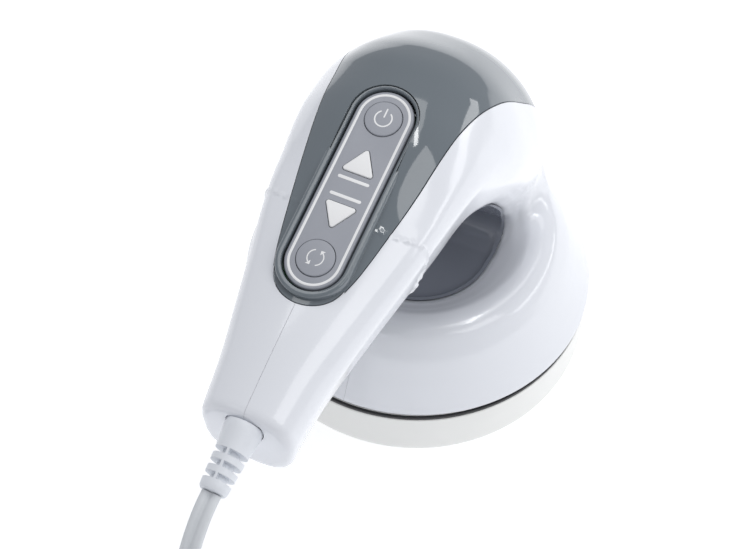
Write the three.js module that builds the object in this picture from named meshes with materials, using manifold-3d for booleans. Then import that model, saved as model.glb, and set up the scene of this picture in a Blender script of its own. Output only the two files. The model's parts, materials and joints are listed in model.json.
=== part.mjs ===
// A handheld orbital massager: a round massage head driven in a small circle by a geared motor,
// an arched handle with a finger gap under it, four keys and a flat twin cord with its plug.
// Millimetres, +Z up, +X towards the cord end. The origin is on the head's axis, on the table.
import * as THREE from "three";
import { mergeVertices } from "three/addons/utils/BufferGeometryUtils.js";
import Module from "manifold-3d";

// ---- driving dimensions ------------------------------------------------------------------
const HEAD_R = 64.4; // moving massage head
const HEAD_H = 24.6;
const RUN_GAP = 0.8; // running gap between the head and the dome
const DOME_Z = HEAD_H + RUN_GAP;
const WALL = 2.4; // housing shells
const LINER = 2.0;
const LINER_GAP = 1.1; // between the shells and the liner's edge
const FIT = 0.3; // gap between touching pieces
const END_X = 131; // blunt end of the handle
const ORBIT_R = 1.5; // throw of the crank pin
const DISH_R = 28; // round floor of the finger gap
const DISH_FROM = -5; // rear end of that floor, at the foot of the neck
const CLEAN = 0.02; // edges shorter than this are merged after a cut

// Housing, heights above the table against x, on the symmetry plane and across it.
const TOP = curve([-56, 60], [-40, 104], [-28, 125], [-14, 136.5], [0, 143], [12, 146], [24, 146.5],
  [48, 141], [81, 131.5], [108, 124], [132, 116]);
const HALF_WIDTH = curve([-20, 37], [20, 34], [35, 33.5], [60, 30], [85, 24.7], [98, 22],
  [114, 19], [132, 17]);
const DEPTH = curve([0, 51], [30, 43.5], [55, 38], [98, 29], [131, 23.5]);
const CROWN = curve([-30, 21], [0, 26], [30, 18.5], [60, 10.5], [131, 7.5]);
const SIDE_SLOPE = curve([20, 0.2], [75, 0.28], [131, 0.2]);
// Neck, against the height above the seam: centre, half-length and half-width of its oval section.
const NECK_CENTRE = curve([0, -37], [40, -26.5], [60, -18], [80, -9.5], [100, -0.5], [126, 11.5]);
const NECK_LENGTH = curve([0, 16], [20, 27], [40, 35.5], [60, 41], [80, 44.5], [126, 44]);
const NECK_WIDTH = curve([0, 20], [20, 27], [40, 33.5], [60, 36], [80, 36.5], [100, 35], [126, 32]);
// Dome, height above the seam against the radius: dish, crest ring and outer wall.
const DOME = curve([0, 19.6], [28, 19.8], [31, 21.5], [36, 25.5], [41, 29], [45, 29.8], [49, 28.5],
  [54, 22.5], [58, 14.7], [61, 8.6], [63.2, 4.1], [65, 0], [67, -20]);

// Control panel: a flat tilted plane, lengths measured along x.
const PANEL_X = 31.9;
const PANEL_Z = 144.9;
const PANEL_TILT = 14.4; // degrees, down towards the cord
const PANEL_FROM = 31.3; // centres of the round ends of the stadium
const PANEL_TO = 81.4;
const BEZEL_R = 12.4;
const PLATE_R = 9.8;
const KEY_TRAVEL = 0.6;

// Drive train.
const MODULE = 1;
const PINION_TEETH = 12;
const GEAR_TEETH = 58;
const MOTOR_X = -(PINION_TEETH + GEAR_TEETH) * MODULE / 2;
const MOTOR_R = 12;

// Cord: flat twin lead, its route from the strain relief down to the coil on the table.
const CORD_W = 6.5;
const CORD_T = 3.2;
const RELIEF_ROOT = [END_X, 0, 108.7];
const RELIEF_TILT = 12; // degrees, down
const RELIEF_LENGTH = 22;
const CORD_ROUTE = [
  [152.8, 0, 104], [157.4, 0, 102.6], [162.3, 0, 99.8], [167.6, 0, 95], [172.6, 0, 87.6], [176.4, 0, 78],
  [178.4, 0, 67], [179, 0, 53], [180.2, 0, 39], [184.2, 0, 25], [191.4, 0, 13.6], [201.6, 0, 5.6],
  [214, 0, 2.2], [228, -0.4, 1.8], [240, -2.6, 2.8],
];
const COIL_CENTRE = [258, -47.4];
const COIL_IN = 30.3;
const COIL_OUT = 43.7;
const COIL_Z = [1.5, 21.5];
const PLUG_AT = [214, -88.6, 7.2]; // middle of the plug's cord end
const LEAD_ROUTE = [
  [238.5, -88.5, 10], [230, -88.6, 8.8], [222, -88.6, 7.6], [PLUG_AT[0] + 0.3, -88.6, 7.2],
];

const wasm = await Module();
wasm.setup();
const group = new THREE.Group();

// ---- colours -----------------------------------------------------------------------------
const finish = (color, roughness, metalness = 0) =>
  new THREE.MeshStandardMaterial({ color, roughness, metalness });
const WHITE = () => finish(0xf0f1f4, 0.25);
const WARM_WHITE = () => finish(0xe8e9e6, 0.4);
const GREY = () => finish(0x6d757b, 0.15);
const LIGHT_GREY = () => finish(0xa3a6ad, 0.35);
const DARK = () => finish(0x4b4e56, 0.25);
const STEEL = () => finish(0xb8babd, 0.3, 1);
const BRASS = () => finish(0xc9a55c, 0.35, 1);
const NYLON = () => finish(0xe9e6da, 0.5);
const BOARD = () => finish(0x2e6b45, 0.5);
const BLACK = () => finish(0x25262a, 0.5);
const CORD_GREY = () => finish(0xd4d8da, 0.45);

// ---- helpers -----------------------------------------------------------------------------
// A smooth curve through a few points that never overshoots them, level past both ends.
function curve(...points) {
  const step = (i) => (points[i + 1][1] - points[i][1]) / (points[i + 1][0] - points[i][0]);
  const slope = points.map((p, i) => {
    if (i === 0) return step(0);
    if (i === points.length - 1) return step(i - 1);
    const [a, b] = [step(i - 1), step(i)];
    return a * b > 0 ? (2 * a * b) / (a + b) : 0;
  });
  return (x) => {
    const last = points.length - 1;
    if (x <= points[0][0]) return points[0][1];
    if (x >= points[last][0]) return points[last][1];
    let i = 0;
    while (x > points[i + 1][0]) i++;
    const width = points[i + 1][0] - points[i][0];
    const t = (x - points[i][0]) / width;
    const blend = t * t * (3 - 2 * t);
    const bend = width * t * (1 - t);
    return points[i][1] * (1 - blend) + points[i + 1][1] * blend
      + bend * ((1 - t) * slope[i] - t * slope[i + 1]);
  };
}

// Smooth union and smooth intersection of two signed distances.
function smoothMin(a, b, k) {
  const h = Math.min(1, Math.max(0, 0.5 + (0.5 * (b - a)) / k));
  return b + (a - b) * h - k * h * (1 - h);
}
const smoothMax = (a, b, k) => -smoothMin(-a, -b, k);

// A closed geometry as a solid that can be joined and cut.
function solid(geometry) {
  const bare = new THREE.BufferGeometry();
  const flat = geometry.index ? geometry.toNonIndexed() : geometry;
  bare.setAttribute("position", flat.getAttribute("position"));
  const merged = mergeVertices(bare, 1e-3);
  return new wasm.Manifold(new wasm.Mesh({
    numProp: 3,
    vertProperties: merged.attributes.position.array,
    triVerts: new Uint32Array(merged.index.array),
  }));
}

// Adds a named mesh to the group, from a geometry or from a solid.
function add(name, shape, material) {
  let geometry = shape;
  if (!shape.isBufferGeometry) {
    const mesh = shape.simplify(CLEAN).getMesh();
    geometry = new THREE.BufferGeometry();
    geometry.setAttribute("position", new THREE.BufferAttribute(mesh.vertProperties, 3));
    geometry.setIndex(new THREE.BufferAttribute(mesh.triVerts, 1));
    geometry.computeVertexNormals();
  }
  const mesh = new THREE.Mesh(geometry, material);
  mesh.name = name;
  group.add(mesh);
  return mesh;
}

// Upright cylinder between two heights.
function post(x, y, z0, z1, r, sides = 24, rTop = r) {
  return new THREE.CylinderGeometry(rTop, r, z1 - z0, sides).rotateX(Math.PI / 2)
    .translate(x, y, (z0 + z1) / 2);
}
// Cylinder along Y between two places.
function crossPost(x, z, y0, y1, r, sides = 20) {
  return new THREE.CylinderGeometry(r, r, y1 - y0, sides).translate(x, (y0 + y1) / 2, z);
}
// Upright ring with square edges.
function ring(x, y, z0, z1, rIn, rOut, sides = 24) {
  const corners = [[rIn, z0], [rOut, z0], [rOut, z1], [rIn, z1], [rIn, z0]];
  return lathe(corners, sides).translate(x, y, 0);
}
// Turned shape about the Z axis from radius and height pairs, listed anticlockwise.
function lathe(pairs, sides = 48) {
  const points = pairs.map(([r, z]) => new THREE.Vector2(r, z));
  return new THREE.LatheGeometry(points, sides).rotateX(Math.PI / 2);
}
// An outline in the plan, extruded upright.
function plate(shape, z0, z1, curveSegments = 10) {
  return new THREE.ExtrudeGeometry(shape, { depth: z1 - z0, bevelEnabled: false, curveSegments })
    .translate(0, 0, z0);
}
// An outline in the side view (x, z), extruded across the whole width between y0 and y1.
function sidePrism(shape, y0, y1, curveSegments = 10) {
  return new THREE.ExtrudeGeometry(shape, { depth: y1 - y0, bevelEnabled: false, curveSegments })
    .rotateX(Math.PI / 2).translate(0, y1, 0);
}
// Box from its lowest and highest corner.
function block(x0, x1, y0, y1, z0, z1) {
  return new THREE.BoxGeometry(x1 - x0, y1 - y0, z1 - z0)
    .translate((x0 + x1) / 2, (y0 + y1) / 2, (z0 + z1) / 2);
}
const circle = (x, y, r) => new THREE.Shape().absarc(x, y, r, 0, 2 * Math.PI);

// Surface of a signed distance inside a box: one vertex for each grid cell that the surface
// crosses, moved onto the surface, and one quad across each grid edge that it crosses.
function surfaceOf(distance, low, high, step) {
  const count = low.map((v, i) => Math.ceil((high[i] - v) / step) + 1);
  const at = (i, j, k) => [low[0] + i * step, low[1] + j * step, low[2] + k * step];
  const index = (i, j, k) => (i * count[1] + j) * count[2] + k;
  const value = new Float64Array(count[0] * count[1] * count[2]);
  eachCell(count, (i, j, k) => {
    value[index(i, j, k)] = distance(...at(i, j, k));
  });
  const vertexOf = new Map();
  const positions = [];
  eachCell(count.map((n) => n - 1), (i, j, k) => {
    const corners = [];
    for (let n = 0; n < 8; n++) {
      const corner = [i + (n & 1), j + ((n >> 1) & 1), k + (n >> 2)];
      corners.push({ corner, v: value[index(...corner)] });
    }
    const inside = corners.filter((c) => c.v < 0).length;
    if (inside === 0 || inside === 8) return;
    const sum = [0, 0, 0];
    let crossings = 0;
    for (let a = 0; a < 8; a++) {
      for (const bit of [1, 2, 4]) {
        const b = a | bit;
        if (b === a || corners[a].v < 0 === corners[b].v < 0) continue;
        const t = corners[a].v / (corners[a].v - corners[b].v);
        for (let d = 0; d < 3; d++) {
          sum[d] += corners[a].corner[d] + t * (corners[b].corner[d] - corners[a].corner[d]);
        }
        crossings++;
      }
    }
    const point = at(...sum.map((s) => s / crossings));
    vertexOf.set(index(i, j, k), positions.length / 3);
    positions.push(...settle(distance, point, step));
  });
  const triangles = [];
  for (let axis = 0; axis < 3; axis++) {
    const [u, v] = [(axis + 1) % 3, (axis + 2) % 3];
    eachCell(count, (...cell) => {
      if (cell[axis] === count[axis] - 1 || cell[u] === 0 || cell[v] === 0) return;
      const next = [...cell];
      next[axis]++;
      const startsInside = value[index(...cell)] < 0;
      if (startsInside === value[index(...next)] < 0) return;
      const quad = [[1, 1], [0, 1], [0, 0], [1, 0]].map(([du, dv]) => {
        const corner = [...cell];
        corner[u] -= du;
        corner[v] -= dv;
        return vertexOf.get(index(...corner));
      });
      if (!startsInside) quad.reverse();
      triangles.push(quad[0], quad[1], quad[2], quad[0], quad[2], quad[3]);
    });
  }
  const geometry = new THREE.BufferGeometry();
  geometry.setAttribute("position", new THREE.Float32BufferAttribute(positions, 3));
  geometry.setIndex(triangles);
  return geometry;
}
function eachCell(count, visit) {
  for (let i = 0; i < count[0]; i++) {
    for (let j = 0; j < count[1]; j++) {
      for (let k = 0; k < count[2]; k++) visit(i, j, k);
    }
  }
}
// Moves a point down the slope of the distance until it lies on the surface.
function settle(distance, point, step) {
  const h = 0.3;
  let p = point;
  for (let round = 0; round < 3; round++) {
    const slope = [0, 1, 2].map((d) => {
      const [ahead, behind] = [[...p], [...p]];
      ahead[d] += h;
      behind[d] -= h;
      return (distance(...ahead) - distance(...behind)) / (2 * h);
    });
    const length = Math.max(0.05, slope.reduce((s, g) => s + g * g, 0));
    const off = distance(...p) / length;
    p = p.map((v, d) => v - Math.max(-step / 2, Math.min(step / 2, off * slope[d])));
  }
  return p;
}

// ---- outer form of the housing -----------------------------------------------------------
const rise = (f, x) => f(x + 0.5) - f(x - 0.5);

function crownedTop(x, y, z, width) {
  const across = Math.abs(y) / width;
  const height = TOP(x) - CROWN(x) * across ** 2.2;
  const lean = (2 * CROWN(x) * across) / width;
  return (z - height) / Math.sqrt(1 + rise(TOP, x) ** 2 + lean ** 2);
}
function handleForm(x, y, z) {
  const width = HALF_WIDTH(x);
  const top = crownedTop(x, y, z, width);
  const tapered = (Math.abs(y) - width + SIDE_SLOPE(x) * (TOP(x) - 12 - z)) / 1.035;
  const side = smoothMax(tapered, Math.abs(y) - width - 0.5, 6);
  const bottom = TOP(x) - DEPTH(x) - z;
  const section = smoothMax(smoothMax(top, side, 6), bottom, 9);
  return smoothMax(smoothMax(section, x - END_X, 5), -8 - x, 20);
}
function neckForm(x, y, z) {
  const h = z - HEAD_H;
  const [length, width] = [NECK_LENGTH(h), NECK_WIDTH(h)];
  const reach = Math.hypot((x - NECK_CENTRE(h)) / length, y / width);
  const side = (reach - 1) * Math.min(length, width) * 0.95;
  return smoothMax(side, crownedTop(x, y, z, 38), 15);
}
function domeForm(x, y, z) {
  const r = Math.hypot(x, y);
  const top = (z - HEAD_H - DOME(r)) / Math.hypot(1, rise(DOME, r));
  return smoothMax(top, r - HEAD_R - 0.6, 1);
}
function housingForm(x, y, z) {
  const arm = smoothMin(handleForm(x, y, z), neckForm(x, y, z), 12);
  return Math.max(smoothMin(arm, domeForm(x, y, z), 14), DOME_Z - 6 - z);
}

// ---- finger gap --------------------------------------------------------------------------
// Side outline of the gap, grown outwards by a margin: flat floor, round back, sloping front of
// the neck and the underside of the handle.
function gapOutline(margin) {
  const floor = HEAD_H + 17.5 - margin;
  const shape = new THREE.Shape();
  shape.moveTo(78, floor);
  shape.lineTo(-5, floor);
  shape.splineThru([
    new THREE.Vector2(-11.5 - 0.7 * margin, HEAD_H + 20.5 - 0.7 * margin),
    new THREE.Vector2(-14.5 - margin, HEAD_H + 27.5),
    new THREE.Vector2(-9.5 - 0.9 * margin, HEAD_H + 38 + 0.4 * margin),
    new THREE.Vector2(-3 - 0.8 * margin, HEAD_H + 49.5 + 0.5 * margin),
    new THREE.Vector2(10.5 - 0.7 * margin, HEAD_H + 68.5 + 0.7 * margin),
    new THREE.Vector2(22 - 0.4 * margin, HEAD_H + 78.5 + 0.9 * margin),
    new THREE.Vector2(34, HEAD_H + 82 + margin),
    new THREE.Vector2(48, HEAD_H + 79 + margin),
    new THREE.Vector2(60, HEAD_H + 73.5 + margin),
  ]);
  shape.lineTo(78, HEAD_H + 60);
  shape.closePath();
  return shape;
}
// The gap is open across the neck and closed in by the round dish of the dome below.
function gapSolid(margin) {
  const sweep = solid(sidePrism(gapOutline(margin), -70, 70, 3));
  const m = margin;
  const funnel = lathe([[0, 20], [DISH_R + m, 20], [DISH_R + m, 44.5], [29.5 + m, 48.6], [32 + m, 53.6],
    [38 + m, 60.6], [50 + m, 69.6], [90, 79.6], [90, 130], [0, 130]], 32);
  return sweep.intersect(solid(funnel));
}

// ---- top cover outline -------------------------------------------------------------------
const COVER_HALF = curve([-60, 30.5], [-27, 30.3], [-14, 29], [3, 26.5], [17, 24], [33, 22], [50, 19.6],
  [65, 16.9], [80, 13.8], [86, 12]);
function coverRegion(margin) {
  const outline = [];
  for (let x = -70; x <= 86; x += 12) outline.push(new THREE.Vector2(x, COVER_HALF(x) + margin));
  for (let a = 75; a > 0; a -= 25) {
    const turn = THREE.MathUtils.degToRad(a);
    outline.push(new THREE.Vector2(83 + (12 + margin) * Math.cos(turn), (12 + margin) * Math.sin(turn)));
  }
  const mirrored = outline.map((p) => new THREE.Vector2(p.x, -p.y)).reverse();
  const frontTip = new THREE.Vector2(95 + margin, 0);
  const plan = plate(new THREE.Shape([...outline, frontTip, ...mirrored]), 20, 170);
  const rear = new THREE.Shape();
  rear.moveTo(-45, 170);
  for (let y = -45; y <= 45; y += 9) rear.lineTo(y, HEAD_H + 40 + 14 * (y / 30) ** 2 - margin);
  rear.lineTo(45, 170);
  const behind = new THREE.ExtrudeGeometry(rear, { depth: 200, bevelEnabled: false })
    .rotateX(Math.PI / 2).rotateZ(Math.PI / 2).translate(-80, 0, 0);
  return solid(plan).intersect(solid(behind));
}

// ---- panel frame -------------------------------------------------------------------------
// Turns a geometry whose z = 0 plane is the panel's face, with x along the panel, into place.
const TILT = THREE.MathUtils.degToRad(PANEL_TILT);
const onPanel = (geometry) => geometry.rotateY(TILT).translate(PANEL_X, 0, PANEL_Z);
const along = (x) => (x - PANEL_X) / Math.cos(TILT);
function stadium(r, from = along(PANEL_FROM), to = along(PANEL_TO)) {
  const shape = new THREE.Shape();
  shape.absarc(to, 0, r, -Math.PI / 2, Math.PI / 2);
  shape.absarc(from, 0, r, Math.PI / 2, (3 * Math.PI) / 2);
  return shape;
}
function triangle(tip, base, half) {
  const shape = new THREE.Shape();
  shape.moveTo(along(tip), 0);
  shape.lineTo(along(base), half);
  shape.lineTo(along(base), -half);
  shape.closePath();
  return shape;
}
const KEYS = [
  { name: "power", centre: 31.6, outline: (grow) => circle(along(31.6), 0, 6 + grow) },
  {
    name: "speed_up",
    centre: 48.5,
    outline: (grow) => triangle(43.1 - 2 * grow, 51.3 + grow, 5.3 + 1.7 * grow),
  },
  {
    name: "speed_down",
    centre: 64.5,
    outline: (grow) => triangle(69.9 + 2 * grow, 62 - grow, 5.3 + 1.7 * grow),
  },
  { name: "auto", centre: 80.7, outline: (grow) => circle(along(80.7), 0, 6.1 + grow) },
];

// ---- housing shells, cover and liner -----------------------------------------------------
const LOW = [-72, -72, DOME_Z - 12];
const HIGH = [140, 72, 156];
const outer = solid(surfaceOf(housingForm, LOW, HIGH, 7.8));
const insideOf = (depth, step) =>
  solid(surfaceOf((x, y, z) => housingForm(x, y, z) + depth, LOW, HIGH, step));
const inner = insideOf(WALL, 10.5);
const linerRoom = insideOf(WALL + LINER_GAP, 10.5);
const aboveSeam = solid(block(-80, 140, -80, 80, DOME_Z, 160));
const gap = gapSolid(0);
const linerBack = gapSolid(LINER);
// The dish under the gap has no shell: there the liner itself is the floor.
const dishSide = solid(block(DISH_FROM, 40, -40, 40, 30, 60));
const dish = (r) => solid(post(0, 0, 36, 50, r)).intersect(dishSide);
const shell = outer.subtract(inner).intersect(aboveSeam).subtract(gap).subtract(dish(DISH_R));

const SLEEVE_R = BEZEL_R - 1.2; // the bezel's sleeve goes down through the cover
const panelSlot = (r) => solid(onPanel(plate(stadium(r), -9, 9)));
const reliefAxis = new THREE.Vector3(1, 0, 0)
  .applyAxisAngle(new THREE.Vector3(0, 1, 0), THREE.MathUtils.degToRad(RELIEF_TILT));
// Puts a turned shape, drawn upright from its root, on the strain relief's axis.
function onRelief(geometry) {
  const turn = new THREE.Quaternion().setFromUnitVectors(new THREE.Vector3(0, 0, 1), reliefAxis);
  return geometry.applyQuaternion(turn).translate(...RELIEF_ROOT);
}
// Bore for the sleeve's neck, with a wider recess at the wall for its shoulder.
const reliefHole = solid(onRelief(post(0, 0, -12, 12, 4.35, 16)))
  .add(solid(onRelief(post(0, 0, -0.9, 12, 6.4, 16))));

// Three screws across the housing hold the halves together, each in a pair of bosses.
const SCREWS = [{ x: 112, z: 103.5 }, { x: 6, z: 121 }, { x: -53.5, z: 47 }];
const BOSS_R = 4;
const BOSS_REACH = 22;
const SCREW_HOLE_R = 1.55;
const HEAD_HOLE_R = 3.3;
function boss(x, z, side) {
  const reach = [(side * FIT) / 2, side * BOSS_REACH];
  return solid(crossPost(x, z, Math.min(...reach), Math.max(...reach), BOSS_R));
}
function housingHalf(side) {
  const edges = [(side * FIT) / 2, side * 80];
  const keep = block(-80, 140, Math.min(...edges), Math.max(...edges), 0, 160);
  const room = outer.subtract(coverRegion(FIT / 2)).subtract(linerBack);
  let half = shell.intersect(solid(keep)).subtract(coverRegion(FIT / 2)).subtract(reliefHole);
  for (const { x, z } of SCREWS) {
    half = half.add(boss(x, z, side).intersect(room));
    if (side > 0) half = half.subtract(solid(crossPost(x, z, -1, 14, SCREW_HOLE_R)));
    else {
      half = half.subtract(solid(crossPost(x, z, -50, 1, SCREW_HOLE_R)));
      half = half.subtract(solid(crossPost(x, z, -50, -5, HEAD_HOLE_R)));
    }
  }
  return half;
}
const biggest = (s) => s.decompose().sort((a, b) => b.volume() - a.volume())[0];
add("left_housing", biggest(housingHalf(-1)), WHITE());
add("right_housing", biggest(housingHalf(1)), WHITE());

const cover = outer.subtract(inner).intersect(coverRegion(-FIT / 2))
  .subtract(panelSlot(SLEEVE_R + FIT));
add("top_cover", biggest(cover), GREY());

const liner = linerRoom.add(dish(DISH_R - FIT)).intersect(linerBack.subtract(gap)).intersect(aboveSeam);
add("grip_liner", biggest(liner), DARK());

SCREWS.forEach(({ x, z }, i) => {
  const head = solid(crossPost(x, z, -7.2, -5.3, 2.8));
  add(`housing_screw_${i + 1}`, head.add(solid(crossPost(x, z, -6, 12, 1.2, 12))), STEEL());
});

// ---- control panel -----------------------------------------------------------------------
const BEZEL_TOP = 1.2;
const bezelRim = solid(onPanel(plate(stadium(BEZEL_R), -0.2, BEZEL_TOP)));
const bezelSleeve = solid(onPanel(plate(stadium(SLEEVE_R), -5, 0)));
const overCover = solid(surfaceOf(
  (x, y, z) => Math.max(housingForm(x, y, z) - FIT, Math.abs(x - 57) - 45, Math.abs(y) - 17, 112 - z),
  [4, -24, 104],
  [110, 24, 160],
  4,
));
const bezel = bezelRim.subtract(overCover)
  .add(bezelSleeve)
  .add(bezelRim.intersect(panelSlot(SLEEVE_R)))
  .subtract(panelSlot(PLATE_R + FIT));
add("button_bezel", biggest(bezel), GREY());

let panelPlate = solid(onPanel(plate(stadium(PLATE_R), -2.2, 0.6)));
for (const key of KEYS) panelPlate = panelPlate.subtract(solid(onPanel(plate(key.outline(FIT), -3, 2))));
add("button_plate", panelPlate, LIGHT_GREY());

const SWITCH_H = 3.4;
const BOARD_FACE = -9;
for (const key of KEYS) {
  const cap = solid(onPanel(plate(key.outline(0), -2.6, 1.1)));
  const stemEnd = BOARD_FACE + SWITCH_H + KEY_TRAVEL + FIT;
  const stem = solid(onPanel(post(along(key.centre), 0, stemEnd, -2, 1.6, 16)));
  const white = key.name.startsWith("speed");
  add(`${key.name}_button`, cap.add(stem), white ? WHITE() : LIGHT_GREY());
  const x = along(key.centre);
  const body = solid(onPanel(block(x - 3, x + 3, -3, 3, BOARD_FACE + FIT, BOARD_FACE + 2.4)));
  const plunger = solid(onPanel(post(x, 0, BOARD_FACE + 2, BOARD_FACE + SWITCH_H, 1.4, 16)));
  add(`${key.name}_switch`, body.add(plunger), BLACK());
}
add("control_board", onPanel(block(along(23), along(92), -11, 11, BOARD_FACE - 1.6, BOARD_FACE)), BOARD());

// ---- chassis, motor and gears ------------------------------------------------------------
const CHASSIS_Z = [27, 29.4];
const BEARING_Z = [25.6, 30.6];
const GEAR_Z = [31.4, 37];
const GUIDE_RING = 40;
const guideAt = (i) => {
  const a = THREE.MathUtils.degToRad(120 * i);
  return [GUIDE_RING * Math.cos(a), GUIDE_RING * Math.sin(a)];
};
function chassis() {
  let s = solid(post(0, 0, ...CHASSIS_Z, 58, 40));
  s = s.add(solid(post(0, 0, CHASSIS_Z[0] - 1.4, BEARING_Z[1], 13, 24)));
  s = s.subtract(solid(post(0, 0, 20, 40, 9.5 + FIT, 24)));
  for (let i = 0; i < 3; i++) s = s.subtract(solid(post(...guideAt(i), 20, 40, 2.5 + FIT, 20)));
  for (const y of [-19, 19]) s = s.add(solid(post(MOTOR_X, y, CHASSIS_Z[1] - 1, 39.6, 3.4, 20)));
  return s;
}
add("chassis", chassis(), NYLON());

function motorBracket() {
  const outline = new THREE.Shape();
  outline.absarc(MOTOR_X, 19, 4.5, 0, Math.PI);
  outline.absarc(MOTOR_X, -19, 4.5, Math.PI, 2 * Math.PI);
  const ears = solid(plate(outline, 39.9, 42));
  return ears.add(solid(post(MOTOR_X, 0, 39.9, 42, MOTOR_R, 32)))
    .subtract(solid(post(MOTOR_X, 0, 38, 44, 3.2 + FIT, 20)));
}
add("motor_bracket", motorBracket(), STEEL());

// The can is open below for the shaft and above for the rear bush.
const can = solid(lathe([[1.5 + FIT, 42.3], [MOTOR_R, 42.3], [MOTOR_R, 72], [4, 72], [4, 74],
  [1.5 + FIT, 74], [1.5 + FIT, 70], [10.2, 70], [10.2, 44.3], [1.5 + FIT, 44.3],
  [1.5 + FIT, 42.3]], 24));
add("motor_can", can.translate([MOTOR_X, 0, 0]), STEEL());
const rotor = solid(lathe([[0, GEAR_Z[0]], [1.5, GEAR_Z[0]], [1.5, 48], [9, 48], [9, 66],
  [1.5, 66], [1.5, 79.5], [0, 79.5]], 16));
add("motor_rotor", rotor.translate([MOTOR_X, 0, 0]), STEEL());

function fan() {
  let s = solid(ring(0, 0, 75, 79, 1.8, 4, 16)).add(solid(ring(0, 0, 75, 76, 3, 9.4, 20)));
  for (let i = 0; i < 8; i++) {
    const blade = block(3.5, 9, -0.5, 0.5, 75.5, 79).rotateZ((i * Math.PI) / 4);
    s = s.add(solid(blade));
  }
  return s.translate([MOTOR_X, 0, 0]);
}
add("cooling_fan", fan(), BLACK());

// Straight-sided spur gear outline: root, flank and tip points for each tooth.
function gearOutline(teeth, thin, turn) {
  const pitch = (teeth * MODULE) / 2;
  const shape = new THREE.Shape();
  const parts = [[-0.36, pitch - 1.25 * MODULE], [-0.13, pitch + 0.9 * MODULE], [0.13, pitch + 0.9 * MODULE],
    [0.36, pitch - 1.25 * MODULE]];
  for (let i = 0; i < teeth; i++) {
    for (const [share, r] of parts) {
      const a = ((i + share * thin) / teeth) * 2 * Math.PI + turn;
      if (i === 0 && share < -0.3) shape.moveTo(r * Math.cos(a), r * Math.sin(a));
      else shape.lineTo(r * Math.cos(a), r * Math.sin(a));
    }
  }
  shape.closePath();
  return shape;
}
const halfTooth = Math.PI / PINION_TEETH;
const gear = solid(plate(gearOutline(GEAR_TEETH, 0.86, Math.PI), ...GEAR_Z))
  .subtract(solid(post(0, 0, 30, 40, 4 + FIT, 24)));
let lightened = gear;
for (let i = 0; i < 6; i++) {
  const a = (i * Math.PI) / 3;
  lightened = lightened.subtract(solid(post(16 * Math.cos(a), 16 * Math.sin(a), 30, 40, 5.5, 10)));
}
add("drive_gear", lightened, NYLON());
const pinion = solid(plate(gearOutline(PINION_TEETH, 0.86, halfTooth), ...GEAR_Z))
  .subtract(solid(post(0, 0, 30, 40, 1.5 + FIT, 16)));
add("pinion", pinion.translate([MOTOR_X, 0, 0]), BRASS());

// ---- orbit drive -------------------------------------------------------------------------
const CRANK_Z = [21.6, 24.8];
const PIN_FOOT = 14;
function crankShaft() {
  const disc = solid(post(0, 0, ...CRANK_Z, 15, 40));
  const pin = solid(post(ORBIT_R, 0, PIN_FOOT, CRANK_Z[0] + 1, 4, 24));
  const shaft = solid(post(0, 0, CRANK_Z[1] - 1, 38.4, 4, 24));
  return disc.add(pin).add(shaft);
}
add("crank_shaft", crankShaft(), STEEL());
function counterweight() {
  const sector = new THREE.Shape();
  sector.absarc(0, 0, 27, (2 * Math.PI) / 3, (4 * Math.PI) / 3);
  sector.absarc(0, 0, 15 + FIT, (4 * Math.PI) / 3, (2 * Math.PI) / 3, true);
  return plate(sector, ...CRANK_Z, 16);
}
add("counterweight", counterweight(), BRASS());
add("main_bearing", ring(0, 0, ...BEARING_Z, 4 + FIT, 9.5), STEEL());
add("pin_bearing", ring(ORBIT_R, 0, 15, 20, 4 + FIT, 8), STEEL());

// The plate moves in a small circle; three fixed pins in oversize bushes keep it from turning.
const PLATE_Z = [12, 15.6];
const BUSH_IN = 2.5 + ORBIT_R + 0.5;
function drivePlate() {
  let s = solid(post(0, 0, ...PLATE_Z, 52, 40)).add(solid(post(0, 0, PLATE_Z[1] - 1, 20.6, 11, 24)));
  s = s.subtract(solid(post(0, 0, 14.6, 22, 8 + FIT, 24))).subtract(solid(post(0, 0, 10, 22, 5, 16)));
  for (let i = 0; i < 3; i++) s = s.subtract(solid(post(...guideAt(i), 10, 20, BUSH_IN + 1.5 + FIT, 16)));
  return s.translate([ORBIT_R, 0, 0]);
}
add("drive_plate", drivePlate(), NYLON());
for (let i = 0; i < 3; i++) {
  const [x, y] = guideAt(i);
  add(`guide_pin_${i + 1}`, post(x, y, 13, 31.5, 2.5, 20), STEEL());
  add(`guide_bush_${i + 1}`, ring(x + ORBIT_R, y, 12, 20, BUSH_IN, BUSH_IN + 1.5, 16), BLACK());
}

// ---- massage head ------------------------------------------------------------------------
const CUP_FLOOR = [8.6, 11.6];
const headCup = lathe([[0, CUP_FLOOR[0]], [57, CUP_FLOOR[0]], [57, 0.6], [57.6, 0], [60.4, 0], [62.6, 0.9],
  [64, 3.2], [HEAD_R, 7], [HEAD_R, HEAD_H], [HEAD_R - 2.6, HEAD_H], [HEAD_R - 2.6, CUP_FLOOR[1]],
  [0, CUP_FLOOR[1]]], 48).translate(ORBIT_R, 0, 0);
const STUDS = 6;
const PAD_Z = [4.6, 8.3];
const stud = (r) => lathe([[0, 0], [r * 0.55, 0], [r * 0.88, 1.2], [r, 4], [r, PAD_Z[0] + 0.5],
  [0, PAD_Z[0] + 0.5]], 14);
function massagePad() {
  let s = solid(post(0, 0, ...PAD_Z, 56.4, 40)).add(solid(stud(11)));
  for (let i = 0; i < STUDS; i++) {
    const a = (i * 2 * Math.PI) / STUDS;
    s = s.add(solid(stud(8.5).translate(37 * Math.cos(a), 37 * Math.sin(a), 0)));
  }
  return s.translate([ORBIT_R, 0, 0]);
}
add("head_cup", headCup, WARM_WHITE());
add("massage_pad", massagePad(), LIGHT_GREY());

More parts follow.
